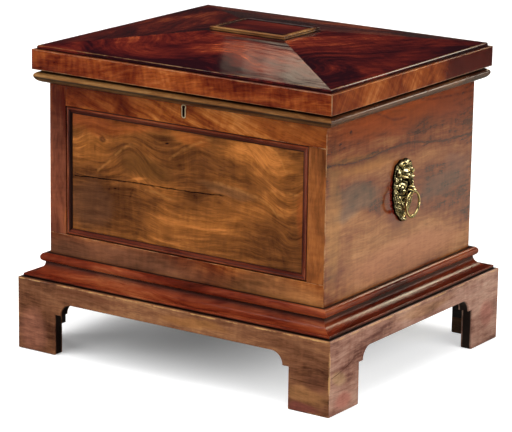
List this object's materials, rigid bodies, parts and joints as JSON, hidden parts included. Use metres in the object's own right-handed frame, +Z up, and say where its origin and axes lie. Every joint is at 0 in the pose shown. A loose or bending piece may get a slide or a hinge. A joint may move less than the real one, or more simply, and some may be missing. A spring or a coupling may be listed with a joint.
{
  "type": "cellarette",
  "caption": "Mahogany wine cellarette: panelled case on a bracket-foot plinth under a hinged hipped lid, with lead liner, bottle divisions, box lock and ring handles.",
  "frame": {"origin": "on the floor, under the middle of the plinth", "axes": "+X to the right along the front, the front faces -Y, +Z up"},
  "size_m": [0.64, 0.55, 0.562],
  "materials": {
    "front_mahogany": "polished old mahogany veneer, golden red-brown",
    "flame_mahogany": "polished flame-figured mahogany",
    "side_mahogany": "polished figured mahogany, faded to a rosy brown",
    "plinth_mahogany": "worn polished mahogany with rubbed edges",
    "moulding_mahogany": "dark red polished mahogany moulding",
    "lid_mahogany": "glossy dark red figured mahogany",
    "lid_edge_mahogany": "polished mahogany, orange-brown",
    "tablet_edge_wood": "rubbed pale mahogany reeding",
    "inside_wood": "unpolished oak and pine, darkened",
    "aged_brass": "rubbed bright brass with dark recesses",
    "lead_sheet": "dull grey lead sheet",
    "lock_steel": "dull old iron and steel"
  },
  "bodies": {
    "case": {"plinth_front": "plinth_mahogany", "plinth_right": "plinth_mahogany", "plinth_back": "plinth_mahogany", "plinth_left": "plinth_mahogany", "bottom_board": "inside_wood", "corner_block_front_left": "inside_wood", "corner_block_front_right": "inside_wood", "corner_block_back_left": "inside_wood", "corner_block_back_right": "inside_wood", "front_top_rail": "front_mahogany", "front_bottom_rail": "front_mahogany", "front_left_stile": "front_mahogany", "front_right_stile": "front_mahogany", "front_panel": "flame_mahogany", "panel_moulding_bottom": "moulding_mahogany", "panel_moulding_right": "moulding_mahogany", "panel_moulding_top": "moulding_mahogany", "panel_moulding_left": "moulding_mahogany", "case_right": "side_mahogany", "case_back": "side_mahogany", "case_left": "side_mahogany", "base_moulding_front": "moulding_mahogany", "base_moulding_right": "moulding_mahogany", "base_moulding_back": "moulding_mahogany", "base_moulding_left": "moulding_mahogany", "rim_moulding_front": "moulding_mahogany", "rim_moulding_right": "moulding_mahogany", "rim_moulding_back": "moulding_mahogany", "rim_moulding_left": "moulding_mahogany", "liner": "lead_sheet", "long_divider_1": "inside_wood", "long_divider_2": "inside_wood", "cross_divider_1": "inside_wood", "cross_divider_2": "inside_wood", "cross_divider_3": "inside_wood", "lock_case": "lock_steel", "keyhole_escutcheon": "aged_brass", "hinge_case_leaf_left": "aged_brass", "hinge_case_leaf_right": "aged_brass", "hinge_pin_left": "aged_brass", "hinge_pin_right": "aged_brass", "mask_right": "aged_brass", "mask_left": "aged_brass"},
    "lid": {"lid_frame_front": "lid_edge_mahogany", "lid_frame_right": "lid_edge_mahogany", "lid_frame_back": "lid_edge_mahogany", "lid_frame_left": "lid_edge_mahogany", "lid_panel": "inside_wood", "lid_slope_front": "lid_mahogany", "lid_slope_right": "lid_mahogany", "lid_slope_back": "lid_mahogany", "lid_slope_left": "lid_mahogany", "tablet": "lid_mahogany", "tablet_moulding": "tablet_edge_wood", "lock_strike": "aged_brass", "hinge_lid_leaf_left": "aged_brass", "hinge_lid_leaf_right": "aged_brass"},
    "lock_bolt": {"lock_bolt": "aged_brass"},
    "ring_right": {"ring_right": "aged_brass"},
    "ring_left": {"ring_left": "aged_brass"}
  },
  "joints": [
    {"name": "lid_hinge", "type": "hinge", "parent": "case", "child": "lid", "pos_m": [0, 0.2605, 0.4895], "axis": [-1, 0, 0], "range_deg": [0, 100]},
    {"name": "lock_bolt_slide", "type": "slide", "parent": "case", "child": "lock_bolt", "axis": [-1, 0, 0], "range_m": [0, 0.008]},
    {"name": "ring_right_swing", "type": "hinge", "parent": "case", "child": "ring_right", "pos_m": [0.302, 0, 0.319], "axis": [0, -1, 0], "range_deg": [-7, 187]},
    {"name": "ring_left_swing", "type": "hinge", "parent": "case", "child": "ring_left", "pos_m": [-0.302, 0, 0.319], "axis": [0, 1, 0], "range_deg": [-7, 187]}
  ]
}
